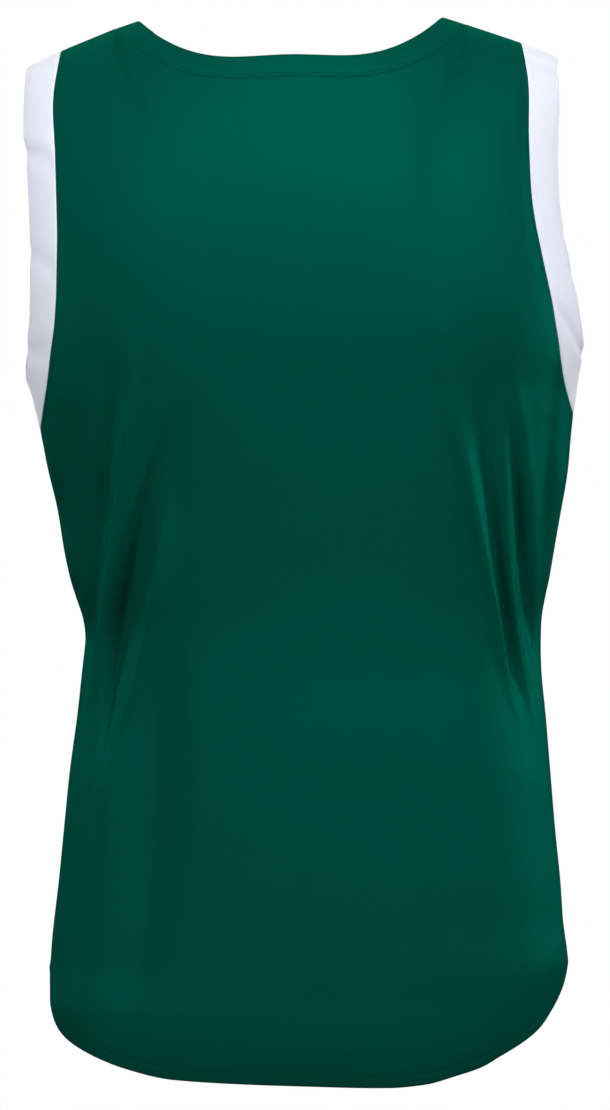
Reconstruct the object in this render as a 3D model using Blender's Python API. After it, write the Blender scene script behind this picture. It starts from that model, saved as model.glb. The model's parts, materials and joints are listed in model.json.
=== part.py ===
"""Sleeveless basketball jersey in its worn, filled-out form, hollow and with no wearer.

Metres, +Z up. The origin is the middle of the shoulder line, at the height of the two neck points,
where shoulders carry the garment. The back faces -Y and the front +Y, so the wearer's left is -X.
Every cloth piece is a thin wall. Its outer face follows one torso surface, made of level rings below
the underarms and of arches over the shoulders above them.
"""

import math

import bmesh
import bpy
import numpy as np

# Cloth and making-up sizes
CLOTH = 0.0016                  # wall of one panel of knit cloth
HEM_CLOTH = 0.0030              # wall where the hem is turned up
NECK_CLOTH = 0.0026             # wall of the doubled neck band
ARM_CLOTH = 0.0022              # wall of an armhole band
SEAM_GAP = 0.0003               # between two pieces at a seam
HEM_TURN = 0.0095               # depth of the turned hem
HEM_STEP = 0.003                # run-out of the turned hem's upper edge
NECK_BAND = 0.0175              # width of the neck band
NECK_BAND_TURN = math.radians(4)    # how far the band bends inwards over its width

# Torso form
SQUARENESS = 2.4                # exponent of a level ring: 2 is an ellipse, more is boxier
ARCH_SQUARENESS = 2.3           # the same for an arch over the shoulder
UNDERARM_LEFT = -0.289          # height of the armhole band's seam at the side seam
UNDERARM_RIGHT = -0.277
NECK_HALF_WIDTH = 0.123         # between the middle and a neck point, on the neck seam
NECK_POINT_LEFT = -0.008        # height of the shoulder ridge at the neck seam
NECK_POINT_RIGHT = -0.005
SHOULDER_END_LEFT = -0.0235     # height of the ridge at the armhole band's seam
SHOULDER_END_RIGHT = -0.0175
NECK_RISE = 0.043               # height that the ridge would reach in the middle, past the neck points
NECK_RISE_ROUND = 1.2           # exponent of that dome
BACK_NECK_DEPTH = 0.742         # how far the neck seam goes back and forward, of the ring's depth
FRONT_NECK_DEPTH = 0.905
NECK_ROUND = 3.0                # exponent of the neck seam's oval, seen from above
SHOULDER_SEAM = 0.1             # how far the shoulder seam lies forward of the ridge, of the ring's depth
SIDE_ANGLE = math.pi / 2        # ring angle of a side seam, from the middle of a panel

# Level rings, top to bottom: height, the two sides, and how deep the back and the front stand
SECTION_COLUMNS = "height left right back front"
SECTIONS = (
    (0.040, -0.207, 0.187, 0.115, 0.115),
    (-0.030, -0.207, 0.187, 0.117, 0.117),
    (-0.120, -0.206, 0.190, 0.126, 0.121),
    (-0.176, -0.205, 0.198, 0.127, 0.123),
    (-0.204, -0.2035, 0.2015, 0.125, 0.123),
    (-0.232, -0.2005, 0.1985, 0.122, 0.122),
    (-0.260, -0.1935, 0.1907, 0.118, 0.120),
    (-0.289, -0.1850, 0.1862, 0.113, 0.117),
    (-0.316, -0.1799, 0.1841, 0.107, 0.114),
    (-0.344, -0.1729, 0.1792, 0.102, 0.111),
    (-0.372, -0.1687, 0.1743, 0.097, 0.108),
    (-0.400, -0.1624, 0.1694, 0.093, 0.105),
    (-0.414, -0.1575, 0.1659, 0.091, 0.104),
    (-0.428, -0.1533, 0.1650, 0.090, 0.103),
    (-0.442, -0.1545, 0.1648, 0.090, 0.102),
    (-0.456, -0.1561, 0.1652, 0.091, 0.102),
    (-0.484, -0.1589, 0.1680, 0.093, 0.103),
    (-0.526, -0.1645, 0.1715, 0.097, 0.106),
    (-0.568, -0.1687, 0.1750, 0.100, 0.109),
    (-0.610, -0.1729, 0.1792, 0.103, 0.111),
    (-0.632, -0.1757, 0.1804, 0.105, 0.112),
    (-0.652, -0.1778, 0.1838, 0.106, 0.113),
    (-0.667, -0.1787, 0.1849, 0.107, 0.113),
    (-0.682, -0.1850, 0.1843, 0.108, 0.114),
    (-0.695, -0.1860, 0.1840, 0.109, 0.114),
    (-0.755, -0.1850, 0.1842, 0.110, 0.114),
)

# Armhole seam, from the underarm up: height above the underarm, distance out as a share of the ring
ARMHOLE_COLUMNS = "rise out"
ARMHOLE = (
    (0.000, 1.000),
    (0.004, 0.987),
    (0.016, 0.955),
    (0.030, 0.920),
    (0.045, 0.890),
    (0.072, 0.852),
    (0.100, 0.835),
    (0.140, 0.826),
    (0.190, 0.830),
    (0.225, 0.838),
    (0.262, 0.817),
)

# Armhole bands: share of the height of their seam, width, and how far they bend inwards over it
ARM_BAND_COLUMNS = "up width turn"
ARM_BANDS = (
    (0.00, 0.031, math.radians(1)),
    (0.30, 0.031, math.radians(20)),
    (0.85, 0.029, math.radians(20)),
    (1.00, 0.0275, math.radians(9)),
)

# Hem, from the left side seam to the right one: share of the panel, height on the back and the front
HEM_COLUMNS = "across back front"
HEM = (
    (-1.00, -0.6640, -0.6640),
    (-0.92, -0.6680, -0.6670),
    (-0.84, -0.6780, -0.6760),
    (-0.72, -0.7045, -0.7010),
    (-0.60, -0.7170, -0.7130),
    (-0.45, -0.7284, -0.7240),
    (-0.31, -0.7354, -0.7310),
    (0.00, -0.7390, -0.7350),
    (0.20, -0.7403, -0.7350),
    (0.29, -0.7384, -0.7325),
    (0.37, -0.7330, -0.7280),
    (0.44, -0.7277, -0.7232),
    (0.50, -0.7207, -0.7167),
    (0.66, -0.7034, -0.7000),
    (0.74, -0.6917, -0.6887),
    (0.85, -0.6760, -0.6742),
    (0.92, -0.6667, -0.6655),
    (1.00, -0.6605, -0.6605),
)

# Main folds of each panel: sideways place at the top, middle and bottom, the heights that they run
# between, half the width, and how far the cloth stands out (below 0 it sinks in)
FOLD_COLUMNS = "top middle bottom upper lower width proud"
BACK_FOLDS = (
    (-0.118, -0.125, -0.150, -0.225, -0.465, 0.009, 0.0050),
    (-0.128, -0.1345, -0.148, -0.235, -0.400, 0.009, -0.0050),
    (-0.090, -0.120, -0.146, -0.280, -0.485, 0.014, -0.0085),
    (-0.086, -0.1035, -0.135, -0.280, -0.495, 0.010, 0.0040),
    (-0.172, -0.163, -0.152, -0.300, -0.425, 0.012, -0.0060),
    (-0.088, -0.090, -0.122, -0.405, -0.715, 0.026, -0.0045),
    (0.104, 0.127, 0.150, -0.235, -0.475, 0.009, 0.0070),
    (0.122, 0.135, 0.1445, -0.290, -0.385, 0.008, -0.0045),
    (0.136, 0.1485, 0.164, -0.300, -0.470, 0.008, 0.0060),
    (0.1465, 0.1535, 0.160, -0.300, -0.400, 0.007, -0.0045),
    (0.180, 0.1805, 0.172, -0.280, -0.400, 0.010, -0.0055),
)
FRONT_FOLDS = (
    (-0.112, -0.122, -0.147, -0.235, -0.470, 0.011, 0.0060),
    (-0.134, -0.1405, -0.152, -0.250, -0.430, 0.010, -0.0055),
    (-0.086, -0.108, -0.138, -0.300, -0.520, 0.013, -0.0060),
    (-0.070, -0.078, -0.104, -0.430, -0.700, 0.026, -0.0045),
    (0.098, 0.120, 0.146, -0.240, -0.490, 0.011, 0.0065),
    (0.124, 0.139, 0.154, -0.270, -0.440, 0.010, -0.0055),
    (0.082, 0.096, 0.120, -0.330, -0.560, 0.015, -0.0050),
    (0.060, 0.078, 0.112, -0.450, -0.705, 0.028, -0.0040),
)
FOLD_EDGE_FADE = 0.014          # the folds run out over this width at the seams

# The two panels: which way each faces along Y
BACK = -1
FRONT = 1

# Mesh
NECK_COLUMNS_BACK = 30          # columns under the neck seam
NECK_COLUMNS_FRONT = 24
SHOULDER_COLUMNS = 8            # columns under each shoulder seam
NECK_COLUMNS_SPAN = 0.72        # share of the lower body that the columns under the neck take
COLUMNS_CLOSE = 0.35            # from this share of the way up they close up towards the neck points
ROWS_BELOW = 19                 # rows between the turned hem and the underarm
ROWS_ABOVE = 16                 # rows between the underarm and the top edge
ROW_BUNCHING = 1.6              # the rows above the underarm start this much closer together
COLUMN_BUNCHING = 0.4           # share of the neck columns' spacing that narrows towards the sides
SPREAD_TOP, SPREAD_BOTTOM = -0.080, -0.520   # the inner columns spread out between these heights
EDGE_HOLD = 6                   # how closely the outer columns keep to the armhole seam
NECK_ROWS = 3                   # strips across the neck band
ARM_ROWS = 4                    # strips across an armhole band

FORM_STEP = 1e-4                # step along the form for a normal
SHARP_EDGE = math.radians(50)   # edges sharper than this are not shaded smooth

# Finishes: colour, roughness
GREEN = ((0.001, 0.066, 0.043, 1.0), 0.55)
WHITE = ((0.80, 0.82, 0.90, 1.0), 0.60)


def table(columns, rows):
    """A table as one array for each named column."""
    return dict(zip(columns.split(), np.array(rows, dtype=float).T))


def smooth(heights, values, at):
    """Smooth curve through the given points that never overshoots them; the ends run on level."""
    order = np.argsort(heights)
    x, y = heights[order], values[order]
    step = np.diff(x)
    slope = np.diff(y) / step
    inner = np.zeros(len(x))
    turning = slope[:-1] * slope[1:] > 0
    first, second = slope[:-1][turning], slope[1:][turning]
    inner[1:-1][turning] = 2 * first * second / (first + second)
    inner[0], inner[-1] = slope[0], slope[-1]
    at = np.clip(at, x[0], x[-1])
    i = np.clip(np.searchsorted(x, at) - 1, 0, len(step) - 1)
    t = (at - x[i]) / step[i]
    return (
        (1 + 2 * t) * (1 - t) ** 2 * y[i]
        + t * (1 - t) ** 2 * step[i] * inner[i]
        + t**2 * (3 - 2 * t) * y[i + 1]
        + t**2 * (t - 1) * step[i] * inner[i + 1]
    )


def ease(t):
    """Smooth step from 0 to 1."""
    t = np.clip(t, 0.0, 1.0)
    return t * t * (3 - 2 * t)


def ring(angle, squareness=SQUARENESS):
    """Sideways and depthways shares of a ring's half sizes at an angle from the panel's middle."""
    sideways, depthways = np.sin(angle), np.cos(angle)
    reach = (np.abs(sideways) ** squareness + np.abs(depthways) ** squareness) ** (-1 / squareness)
    return reach * sideways, reach * depthways


def ring_angle(share, squareness=SQUARENESS):
    """Ring angle of a sideways share of the half width."""
    size = np.clip(np.abs(share), 0.0, 1.0)
    return np.sign(share) * np.arctan2(size, (1 - size**squareness) ** (1 / squareness))


SECTION = table(SECTION_COLUMNS, SECTIONS)
HEM_LINE = table(HEM_COLUMNS, HEM)
ARMHOLE_SEAM = table(ARMHOLE_COLUMNS, ARMHOLE)
ARM_BAND = table(ARM_BAND_COLUMNS, ARM_BANDS)
NECK_SHARE = NECK_HALF_WIDTH / ((SECTIONS[0][2] - SECTIONS[0][1]) / 2)
EDGE_ANGLE_TOP = ring_angle(ARMHOLE[-1][1])
NECK_ANGLE = ring_angle(NECK_SHARE)
NECK_ACROSS = NECK_ANGLE / EDGE_ANGLE_TOP


def section(height):
    """Middle, half width, and the back's and the front's depth of the ring at a height."""
    left, right, back, front = (
        smooth(SECTION["height"], SECTION[name], height) for name in ("left", "right", "back", "front")
    )
    return (left + right) / 2, (right - left) / 2, back, front


def between(across, left, right):
    """A value that goes from the left seam's to the right seam's."""
    return left + (right - left) * (across + 1) / 2


def ridge(angle):
    """Height of the shoulder ridge, which rises past the neck points as a low dome over the neck."""
    neck_point = between(angle / NECK_ANGLE, NECK_POINT_LEFT, NECK_POINT_RIGHT)
    neck_point = np.clip(neck_point, NECK_POINT_LEFT, NECK_POINT_RIGHT)
    end = np.where(angle < 0, SHOULDER_END_LEFT, SHOULDER_END_RIGHT)
    inward = np.abs(ring(angle)[0]) / NECK_SHARE
    outward = np.maximum(inward - 1, 0.0) / (ARMHOLE[-1][1] / NECK_SHARE - 1)
    over_neck = neck_point + NECK_RISE * np.maximum(1 - inward**2, 0.0) ** NECK_RISE_ROUND
    over_shoulder = neck_point + (end - neck_point) * outward
    return np.where(inward < 1, over_neck, over_shoulder)


def smooth_form(facing, angle, lift):
    """Points of the torso surface without folds. The lift is the height over the underarm while it is
    below 0, and above 0 it is the angle gone round the arch over the shoulder."""
    underarm = between(angle / SIDE_ANGLE, UNDERARM_LEFT, UNDERARM_RIGHT)
    forward, upward = ring(math.pi / 2 - np.maximum(lift, 0.0), ARCH_SQUARENESS)
    height = underarm + (ridge(angle) - underarm) * upward + np.minimum(lift, 0.0)
    middle, half_width, back, front = section(height)
    depth = back if facing == BACK else front
    sideways, depthways = ring(angle)
    across = middle + half_width * sideways
    return np.stack([across, facing * depth * depthways * forward, height], axis=-1)


def seam_angle(angle, height):
    """Ring angle of a panel's side: its side seam, and the armhole seam above the underarm."""
    underarm = between(angle / SIDE_ANGLE, UNDERARM_LEFT, UNDERARM_RIGHT)
    return ring_angle(smooth(ARMHOLE_SEAM["rise"], ARMHOLE_SEAM["out"], height - underarm))


def fold_relief(facing, angle, height):
    """How far the folds move the cloth out of the smooth form."""
    middle, half_width, back, front = section(height)
    radius = np.sqrt((half_width**2 + (back if facing == BACK else front) ** 2) / 2)
    relief = np.zeros_like(height)
    for top, centre, bottom, upper, lower, width, proud in BACK_FOLDS if facing == BACK else FRONT_FOLDS:
        t = np.clip((upper - height) / (upper - lower), 0.0, 1.0)
        place = top * (1 - t) * (1 - 2 * t) + centre * 4 * t * (1 - t) + bottom * t * (2 * t - 1)
        away = (angle - ring_angle((place - middle) / half_width)) * radius
        relief += proud * np.sin(math.pi * t) * np.exp(-((away / width) ** 2))
    return relief * ease((seam_angle(angle, height) - np.abs(angle)) * radius / FOLD_EDGE_FADE)


def unit(vectors):
    """The same vectors at length 1."""
    return vectors / np.linalg.norm(vectors, axis=-1, keepdims=True)


def outward_normals(form, facing, angle, lift):
    """Unit normals of a form, from small steps along it."""
    around = form(facing, angle + FORM_STEP, lift) - form(facing, angle - FORM_STEP, lift)
    up = form(facing, angle, lift + FORM_STEP) - form(facing, angle, lift - FORM_STEP)
    return unit(np.cross(around, up)) * -facing


def folded_form(facing, angle, lift):
    """Points of the torso surface with its folds."""
    points = smooth_form(facing, angle, lift)
    relief = fold_relief(facing, angle, points[..., 2])
    return points + outward_normals(smooth_form, facing, angle, lift) * relief[..., None]


def columns(facing, neck_columns):
    """The columns of a panel: where each lies on the lower body, from -1 at the left side to 1 at the
    right one, where it meets the top edge, and how far round the arch that is."""
    depth = BACK_NECK_DEPTH if facing == BACK else FRONT_NECK_DEPTH
    t = np.linspace(-1, 1, neck_columns + 1)
    sideways, depthways = ring(t * math.pi / 2, NECK_ROUND)
    under_neck = (1 - COLUMN_BUNCHING) * t + COLUMN_BUNCHING * np.sin(t * math.pi / 2)
    neck = ring_angle(sideways * NECK_SHARE) / EDGE_ANGLE_TOP
    out = np.linspace(0, 1, SHOULDER_COLUMNS + 1)[1:]
    lower = NECK_COLUMNS_SPAN + (1 - NECK_COLUMNS_SPAN) * out
    shoulder = NECK_ACROSS + (1 - NECK_ACROSS) * out
    low = np.concatenate([-lower[::-1], NECK_COLUMNS_SPAN * under_neck, lower])
    top = np.concatenate([-shoulder[::-1], neck, shoulder])
    reach = np.full(len(top), SHOULDER_SEAM * facing)
    reach[SHOULDER_COLUMNS:-SHOULDER_COLUMNS] += (depth - SHOULDER_SEAM * facing) * np.maximum(depthways, 0)
    return low, top, math.pi / 2 - ring_angle(reach, ARCH_SQUARENESS)


def panel_grid(facing, low, top, top_lift):
    """Ring angles and lifts of a panel's points, rows upwards."""
    hem = smooth(HEM_LINE["across"], HEM_LINE["back" if facing == BACK else "front"], low)
    underarm = between(low, UNDERARM_LEFT, UNDERARM_RIGHT)
    turned = np.array([0.0, HEM_TURN])[:, None] + hem
    above_hem = hem + HEM_TURN + HEM_STEP
    body = above_hem + (underarm - above_hem) * np.linspace(0, 1, ROWS_BELOW + 1)[:, None]
    share = (np.linspace(0, 1, ROWS_ABOVE + 1)[1:] ** ROW_BUNCHING)[:, None]
    upward = ring(math.pi / 2 - top_lift * share, ARCH_SQUARENESS)[1]
    shoulder = underarm + (ridge(top * EDGE_ANGLE_TOP) - underarm) * upward
    below = np.vstack([turned, body])
    height = np.vstack([below, shoulder])
    closing = ease((share - COLUMNS_CLOSE) / (1 - COLUMNS_CLOSE))
    across = np.vstack([np.broadcast_to(low, below.shape), low + (top - low) * closing])
    spread = ease((height - SPREAD_BOTTOM) / (SPREAD_TOP - SPREAD_BOTTOM))
    inner = SIDE_ANGLE + (EDGE_ANGLE_TOP - SIDE_ANGLE) * spread
    edge = seam_angle(low * SIDE_ANGLE, height)
    angle = across * (inner + (edge - inner) * np.abs(across) ** EDGE_HOLD)
    return angle, np.vstack([below - underarm, top_lift * share])


class Panel:
    """Front or back panel: its outer points and normals, rows upwards and columns from -X to +X."""

    def __init__(self, facing, neck_columns):
        angle, lift = panel_grid(facing, *columns(facing, neck_columns))
        self.points = folded_form(facing, angle, lift)
        self.normals = outward_normals(folded_form, facing, angle, lift)
        self.underarm = len(self.points) - 1 - ROWS_ABOVE
        last = self.points.shape[1] - 1
        self.neck = slice(SHOULDER_COLUMNS, last - SHOULDER_COLUMNS + 1)
        self.shoulders = np.r_[0 : SHOULDER_COLUMNS + 1, last - SHOULDER_COLUMNS : last + 1]

    def grids(self):
        """Outer and inner points of the wall, drawn back by half a gap at the side and shoulder seams."""
        cloth = np.full(len(self.points), CLOTH)
        cloth[:2] = HEM_CLOTH
        outer = self.points.copy()
        inner = outer - self.normals * cloth[:, None, None]
        side_rows = slice(0, self.underarm + 1)
        for grid in (outer, inner):
            for edge, beside in ((0, 1), (-1, -2)):
                grid[side_rows, edge] += unit(grid[side_rows, beside] - grid[side_rows, edge]) * SEAM_GAP / 2
            drop = unit(grid[-2, self.shoulders] - grid[-1, self.shoulders])
            grid[-1, self.shoulders] += drop * SEAM_GAP / 2
        return outer, inner


def armhole_loop(back, front, column):
    """Seam points, normals and inward neighbours round one armhole: up the back, down the front."""
    beside = 1 if column == 0 else -2
    up = slice(back.underarm, len(back.points))
    down = slice(len(front.points) - 2, front.underarm, -1)
    seam = np.vstack([back.points[up, column], front.points[down, column]])
    normals = np.vstack([back.normals[up, column], front.normals[down, column]])
    inside = np.vstack([back.points[up, beside], front.points[down, beside]])
    inside[0] = seam[0] - (0, 0, CLOTH)
    return seam, normals, inside


def neck_loop(back, front):
    """Seam points, normals and neighbours below round the neck: along the back, back along the front."""
    front_neck = np.arange(front.neck.stop - 2, front.neck.start, -1)
    seam = np.vstack([back.points[-1, back.neck], front.points[-1, front_neck]])
    normals = np.vstack([back.normals[-1, back.neck], front.normals[-1, front_neck]])
    below = np.vstack([back.points[-2, back.neck], front.points[-2, front_neck]])
    return seam, normals, below


def band_grids(loop, width, turn, strips, cloth):
    """Outer and inner points of a band that runs on from a seam and bends inwards by a turn."""
    seam, normals, inside = loop
    ahead = unit(np.roll(seam, -1, axis=0) - seam)
    along = unit(ahead + np.roll(ahead, 1, axis=0))
    outward = unit(np.cross(normals, along))
    outward *= -np.sign(np.sum(outward * (inside - seam), axis=-1, keepdims=True))
    outer, inner = [], []
    for share in np.linspace(0, 1, strips + 1):
        sine, cosine = np.sin(turn * share)[:, None], np.cos(turn * share)[:, None]
        radius = (width / turn)[:, None]
        edge = seam + outward * (SEAM_GAP + radius * sine) - normals * radius * (1 - cosine)
        outer.append(edge)
        inner.append(edge - (normals * cosine + outward * sine) * cloth)
    return np.array(outer), np.array(inner)


def finish(name, colour, roughness):
    """A plain cloth material."""
    material = bpy.data.materials.new(name)
    material.use_nodes = True
    shader = material.node_tree.nodes["Principled BSDF"]
    shader.inputs["Base Color"].default_value = colour
    shader.inputs["Roughness"].default_value = roughness
    return material


def rims(sheet, closed):
    """The edge lines of one sheet of a wall, each as a run of its points."""
    if closed:
        return [row + row[:1] for row in (sheet[0], sheet[-1])]
    left, right = [row[0] for row in sheet], [row[-1] for row in sheet]
    return [sheet[0] + right[1:] + sheet[-1][-2::-1] + left[-2::-1]]


def wall(name, grids, material, closed):
    """One closed wall between an outer and an inner grid of points; a band closes on itself."""
    outer, inner = grids
    rows, columns = outer.shape[:2]
    mesh = bmesh.new()
    sheets = [
        [[mesh.verts.new(point) for point in row] for row in grid] for grid in (outer, inner)
    ]
    across = columns if closed else columns - 1
    for row in range(rows - 1):
        for column in range(across):
            beside = (column + 1) % columns
            for sheet in sheets:
                low, high = sheet[row], sheet[row + 1]
                mesh.faces.new((low[column], low[beside], high[beside]))
                mesh.faces.new((low[column], high[beside], high[column]))
    outer_rim, inner_rim = (rims(sheet, closed) for sheet in sheets)
    for outside, inside in zip(outer_rim, inner_rim):
        for (a, b), (c, d) in zip(zip(outside, outside[1:]), zip(inside, inside[1:])):
            if a.co.z < b.co.z:
                a, b, c, d = b, a, d, c
            mesh.faces.new((a, b, d))
            mesh.faces.new((a, d, c))
    bmesh.ops.recalc_face_normals(mesh, faces=mesh.faces)
    data = bpy.data.meshes.new(name)
    mesh.to_mesh(data)
    mesh.free()
    data.shade_smooth()
    data.set_sharp_from_angle(angle=SHARP_EDGE)
    data.materials.append(material)
    piece = bpy.data.objects.new(name, data)
    bpy.context.scene.collection.objects.link(piece)
    return piece


def main():
    for thing in list(bpy.data.objects):
        bpy.data.objects.remove(thing, do_unlink=True)
    green = finish("green_knit", *GREEN)
    white = finish("white_knit", *WHITE)
    back = Panel(BACK, NECK_COLUMNS_BACK)
    front = Panel(FRONT, NECK_COLUMNS_FRONT)
    wall("back_panel", back.grids(), green, closed=False)
    wall("front_panel", front.grids(), green, closed=False)
    loop = neck_loop(back, front)
    even = np.ones(len(loop[0]))
    band = band_grids(loop, NECK_BAND * even, NECK_BAND_TURN * even, NECK_ROWS, NECK_CLOTH)
    wall("neck_band", band, green, closed=True)
    for side, column in (("left", 0), ("right", -1)):
        loop = armhole_loop(back, front, column)
        heights = loop[0][:, 2]
        up = (heights - heights.min()) / np.ptp(heights)
        width, turn = (smooth(ARM_BAND["up"], ARM_BAND[name], up) for name in ("width", "turn"))
        band = band_grids(loop, width, turn, ARM_ROWS, ARM_CLOTH)
        wall("armhole_band_" + side, band, white, closed=True)


main()
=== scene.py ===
"""Dressed visual of the sleeveless basketball jersey: cloth, sewing, finishes, floor, light and camera.

Metres, +Z up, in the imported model's frame. Each cloth piece repeats the surface of the solid that it
replaces, with finer folds, soft seams, rounded edges and rows of stitches.
"""

import json
import math
from collections import namedtuple

import bmesh
import bpy
import numpy as np
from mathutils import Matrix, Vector
from mathutils.kdtree import KDTree

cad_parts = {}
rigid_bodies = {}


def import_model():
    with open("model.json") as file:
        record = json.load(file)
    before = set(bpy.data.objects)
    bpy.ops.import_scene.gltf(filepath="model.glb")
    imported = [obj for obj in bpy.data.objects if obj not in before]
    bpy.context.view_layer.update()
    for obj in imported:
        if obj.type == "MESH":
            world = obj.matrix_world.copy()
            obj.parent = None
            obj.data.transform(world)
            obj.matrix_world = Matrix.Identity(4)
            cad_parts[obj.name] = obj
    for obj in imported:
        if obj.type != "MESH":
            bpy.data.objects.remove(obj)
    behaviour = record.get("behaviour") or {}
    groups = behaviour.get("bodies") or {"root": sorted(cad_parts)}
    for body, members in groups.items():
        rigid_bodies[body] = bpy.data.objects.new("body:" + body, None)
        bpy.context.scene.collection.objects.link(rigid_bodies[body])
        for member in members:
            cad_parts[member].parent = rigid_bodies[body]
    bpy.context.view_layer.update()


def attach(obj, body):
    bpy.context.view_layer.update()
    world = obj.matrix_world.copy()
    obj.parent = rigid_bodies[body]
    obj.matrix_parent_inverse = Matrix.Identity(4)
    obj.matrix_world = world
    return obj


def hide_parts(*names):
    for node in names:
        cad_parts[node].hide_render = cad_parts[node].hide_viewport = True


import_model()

# Cloth and making-up sizes
CLOTH = 0.0012                  # wall of one panel of knit cloth
HEM_CLOTH = 0.0024              # wall where the hem is turned up
NECK_CLOTH = 0.0024             # wall of the doubled neck band
ARM_CLOTH = 0.0020              # wall of an armhole band
HEM_TURN = 0.0095               # depth of the turned hem
NECK_BAND = 0.0175              # width of the neck band
NECK_BAND_TURN = math.radians(4)    # how far the band bends inwards over its width
SEAM_OVERLAP = 0.0003           # of two pieces at a seam, so that no light shows through it
SEAM_DIP = 0.00040              # how deep the cloth rolls in at a seam
SEAM_DIP_WIDTH = 0.0012         # and over which distance
STITCH_DIP = 0.0002             # how deep a row of stitches pulls the cloth in
STITCH_DIP_WIDTH = 0.0008

TOPSTITCH = 0.0032              # row of stitches on the panels, from the armhole seam
HEM_STITCH = 0.0086             # row of stitches from the hem's edge
NECK_STITCH = 0.0027            # row of stitches on the neck band, from its seam
ARM_EDGE_STITCH = 0.0030        # row of stitches from an armhole band's outer edge
SEAM_PULL = 0.0002              # how far an edge is drawn in before it is rounded, at a seam
FREE_PULL = 0.0012              # and at a hem or the outer edge of a band
RIM_TURNS = (math.pi / 4, math.pi / 2, 3 * math.pi / 4)     # rings of points round a rounded edge

# Stitches, each a short raised thread
STITCH_PITCH = 0.0029
STITCH_LENGTH = 0.0024
STITCH_WIDTH = 0.00050
STITCH_HEIGHT = 0.00030
STITCH_COLUMNS = "along wide high"      # shares of half the length, of the width and of the height
STITCH_SHAPE = (
    (-1.00, 0.3, -0.6),
    (-0.65, 0.9, 0.2),
    (0.00, 1.0, 0.4),
    (0.65, 0.9, 0.2),
    (1.00, 0.3, -0.6),
)
STITCH_SIDES = 6

# Flat cut of each sheet: (width, length) and area
BACK_CUT = ((0.520, 0.700), 0.297)
FRONT_CUT = ((0.515, 0.690), 0.283)

# Finishes
GREEN_DARK, GREEN_LIGHT = (0.0, 0.096, 0.0655), (0.0, 0.104, 0.072)
GREEN_FINISH = {"Roughness": 0.34, "Metallic": 0.45, "Specular IOR Level": 0.0,
                "Specular Tint": (0.02, 0.5, 0.4, 1.0),
                "Sheen Weight": 0.05, "Sheen Roughness": 0.4, "Sheen Tint": (0.0, 0.8, 0.6, 1.0)}
WHITE_DARK, WHITE_LIGHT = (0.71, 0.74, 0.83), (0.74, 0.77, 0.86)
WHITE_FINISH = {"Roughness": 0.75, "Specular IOR Level": 0.2, "Sheen Weight": 0.5, "Sheen Roughness": 0.5}
GREEN_THREAD_DARK, GREEN_THREAD_LIGHT = (0.0, 0.040, 0.030), (0.0, 0.060, 0.045)
THREAD_FINISH = {"Roughness": 0.6, "Specular IOR Level": 0.2}
KNIT_DEPTH = 0.00005
WALE = 0.0009                   # width of one column of knit loops
COURSE = 0.0008                 # height of one row of them
RIB_SHARE, LOOP_SHARE, GRAIN_SHARE = 0.6, 0.4, 0.8      # of the knit's depth, of columns, rows and fuzz
CLOUD_SCALE, GRAIN_SCALE, THREAD_SCALE = 9.0, 900.0, 1400.0
CLOUD_DETAIL, GRAIN_DETAIL = 3.0, 2.0
CLOUD_COLOUR, GRAIN_COLOUR = 0.7, 0.3       # what each adds to the unevenness of colour
FLOOR_FINISH = {"Base Color": (0.86, 0.86, 0.86, 1.0), "Roughness": 0.9}

# Studio
CAMERA_DISTANCE = 4.0
CAMERA_FILM = 36.0
VIEW_HEIGHT = 0.777             # what the picture's height covers at the garment
VIEW_MIDDLE = -0.3759
FLOOR_HEIGHT = -1.45
FLOOR_RADIUS = 3.0
FLOOR_SIDES = 96
WHITE = (1.0, 1.0, 1.0, 1.0)
WORLD_LOW, WORLD_HIGH = 0.05, 0.12      # light from below and from above
WORLD_BOTTOM, WORLD_TOP = -0.3, 0.9     # and the upward share of the directions that it changes between
ALL, BANDS = "all", "armhole_band"      # what a light falls on: everything, or pieces with such names
LIGHT_COLUMNS = "name place aim width height power glossy falls_on"
LIGHTS = (
    ("key", (0.3, -1.5, 1.35), (0.0, 0.0, -0.2), 3.2, 0.8, 12.5, True, ALL),
    ("left_fill", (-1.4, -1.9, 0.6), (0.0, 0.0, -0.3), 1.0, 1.0, 38.0, False, ALL),
    ("right_fill", (1.4, -1.9, 0.6), (0.0, 0.0, -0.3), 1.0, 1.0, 41.0, False, ALL),
    ("left_rim", (-2.2, 0.9, 0.0), (0.0, 0.0, -0.45), 0.4, 0.8, 5.0, True, ALL),
    ("right_rim", (2.2, 0.9, 0.0), (0.0, 0.0, -0.45), 0.4, 0.8, 14.5, True, ALL),
    ("left_bands", (-2.2, -0.2, 0.2), (0.0, 0.0, -0.3), 0.8, 1.0, 6.0, False, BANDS),
    ("right_bands", (2.2, -0.2, 0.2), (0.0, 0.0, -0.3), 0.8, 1.0, 2.5, False, BANDS),
    ("far_key", (-0.3, 1.5, 1.35), (0.0, 0.0, -0.2), 3.2, 0.8, 12.0, True, ALL),
    ("far_fill", (0.0, 2.4, 0.6), (0.0, 0.0, -0.3), 3.0, 1.0, 58.0, False, ALL),
)

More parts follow.
